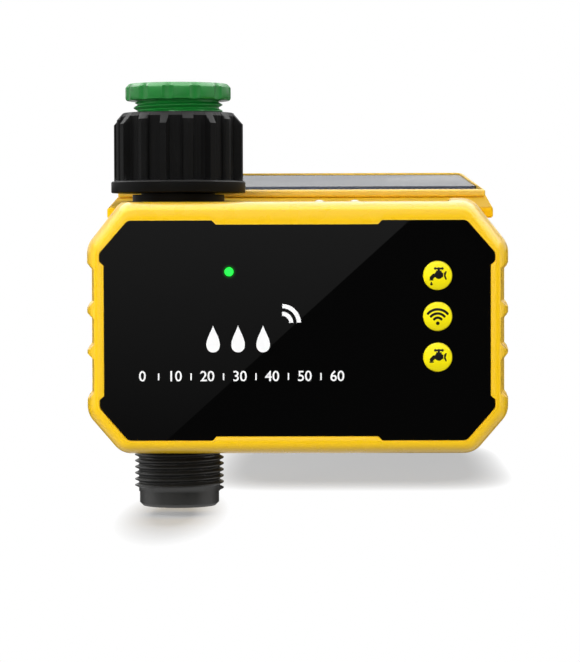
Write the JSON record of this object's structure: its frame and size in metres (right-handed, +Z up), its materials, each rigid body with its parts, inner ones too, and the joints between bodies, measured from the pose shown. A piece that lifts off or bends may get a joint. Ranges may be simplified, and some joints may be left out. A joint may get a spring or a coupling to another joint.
{
  "type": "irrigation controller",
  "caption": "Solar tap timer: motorised ball valve in a bevelled case with a glossy panel, domed keys, swivel inlet collar, tap adapter and threaded hose outlet.",
  "frame": {"origin": "middle of the inlet's mouth, on the top face of the tap adapter", "axes": "+Z up the valve axis towards the tap, +X to the right of someone facing the front panel, -Y out of the front panel"},
  "size_m": [0.122, 0.0801, 0.1252],
  "materials": {
    "yellow_case": "satin moulded ABS, warm yellow",
    "panel_black": "polished black",
    "key_yellow": "satin, domed",
    "black_plastic": "fine textured glass-filled nylon",
    "green_plastic": "satin moulded",
    "washer_rubber": "matt",
    "steel": "stainless",
    "seat_white": "PTFE",
    "ball_chrome": "polished plating on brass",
    "stem_brass": "turned",
    "gear_white": "acetal",
    "gearbox_grey": "moulded",
    "motor_can": "drawn can",
    "led_green": "clear green",
    "chip_white": "moulded",
    "plunger_dark": "moulded",
    "board_green": "solder mask",
    "parts_dark": "component bodies",
    "shield_tin": "tinned can",
    "cell_wrap": "shrink sleeve",
    "solar_dark": "silicon cells under resin",
    "solar_cover": "clear cover"
  },
  "bodies": {
    "case": {"front_shell": "yellow_case", "rear_housing": "yellow_case", "roof_lid": "yellow_case", "solar_frame": "yellow_case", "front_panel": "panel_black", "inlet_neck": "black_plastic", "valve_body": "black_plastic", "collar_washer": "washer_rubber", "neck_o_ring": "washer_rubber", "outlet_gasket": "washer_rubber", "case_gasket": "washer_rubber", "collar_ring": "steel", "inlet_filter": "steel", "gear_axles": "steel", "gearbox_screws": "steel", "board_screws": "steel", "case_screws": "steel", "rain_contacts": "steel", "battery_contacts": "steel", "ball_seats": "seat_white", "gearbox_case": "gearbox_grey", "gearbox_cover": "gearbox_grey", "battery_holder": "gearbox_grey", "tact_switches": "gearbox_grey", "motor": "motor_can", "led_lens": "led_green", "status_led": "chip_white", "main_board": "board_green", "board_parts": "parts_dark", "radio_module": "shield_tin", "battery_cell": "cell_wrap", "solar_cells": "solar_dark", "solar_glass": "solar_cover"},
    "collar": {"swivel_collar": "black_plastic"},
    "adapter_seal": {"adapter_washer": "washer_rubber"},
    "adapter": {"reducer_adapter": "green_plastic"},
    "valve_rotor": {"valve_ball": "ball_chrome", "valve_stem": "stem_brass", "stem_o_rings": "washer_rubber", "output_gear": "gear_white"},
    "second_gear": {"second_gear": "gear_white"},
    "first_gear": {"first_gear": "gear_white"},
    "motor_rotor": {"motor_shaft": "steel", "motor_pinion": "stem_brass"},
    "water_on_key": {"water_on_button": "key_yellow", "water_on_plunger": "plunger_dark"},
    "wireless_key": {"wireless_button": "key_yellow", "wireless_plunger": "plunger_dark"},
    "water_off_key": {"water_off_button": "key_yellow", "water_off_plunger": "plunger_dark"}
  },
  "joints": [
    {"name": "collar_swivel", "type": "hinge", "parent": "case", "child": "collar", "pos_m": [0, 0, -0.02], "axis": [0, 0, 1], "continuous": true},
    {"name": "adapter_lift", "type": "slide", "parent": "collar", "child": "adapter_seal", "axis": [0, 0, 1], "range_m": [0, 0.0146]},
    {"name": "adapter_unscrew", "type": "hinge", "parent": "adapter_seal", "child": "adapter", "pos_m": [0, 0, -0.01], "axis": [0, 0, 1], "range_deg": [0, 2880]},
    {"name": "valve_turn", "type": "hinge", "parent": "case", "child": "valve_rotor", "pos_m": [0, 0, -0.072], "axis": [1, 0, 0], "range_deg": [0, 90]},
    {"name": "second_gear_spin", "type": "hinge", "parent": "case", "child": "second_gear", "pos_m": [0.03, 0.00926, -0.08303], "axis": [1, 0, 0], "range_deg": [-270, 0]},
    {"name": "first_gear_spin", "type": "hinge", "parent": "case", "child": "first_gear", "pos_m": [0.033, 0.02203, -0.07408], "axis": [1, 0, 0], "range_deg": [0, 900]},
    {"name": "motor_spin", "type": "hinge", "parent": "case", "child": "motor_rotor", "pos_m": [0.045, 0.03307, -0.08334], "axis": [1, 0, 0], "range_deg": [-2700, 0]},
    {"name": "water_on_press", "type": "slide", "parent": "case", "child": "water_on_key", "axis": [0, 1, 0], "range_m": [0, 0.0005], "stiffness_N_per_m": 1500},
    {"name": "wireless_press", "type": "slide", "parent": "case", "child": "wireless_key", "axis": [0, 1, 0], "range_m": [0, 0.0005], "stiffness_N_per_m": 1500},
    {"name": "water_off_press", "type": "slide", "parent": "case", "child": "water_off_key", "axis": [0, 1, 0], "range_m": [0, 0.0005], "stiffness_N_per_m": 1500}
  ],
  "couplings": [
    {"joint": "adapter_lift", "follows": "adapter_unscrew", "m_per_rad": 0.00028871},
    {"joint": "second_gear_spin", "follows": "valve_turn", "ratio": -3},
    {"joint": "first_gear_spin", "follows": "valve_turn", "ratio": 10},
    {"joint": "motor_spin", "follows": "valve_turn", "ratio": -30}
  ]
}
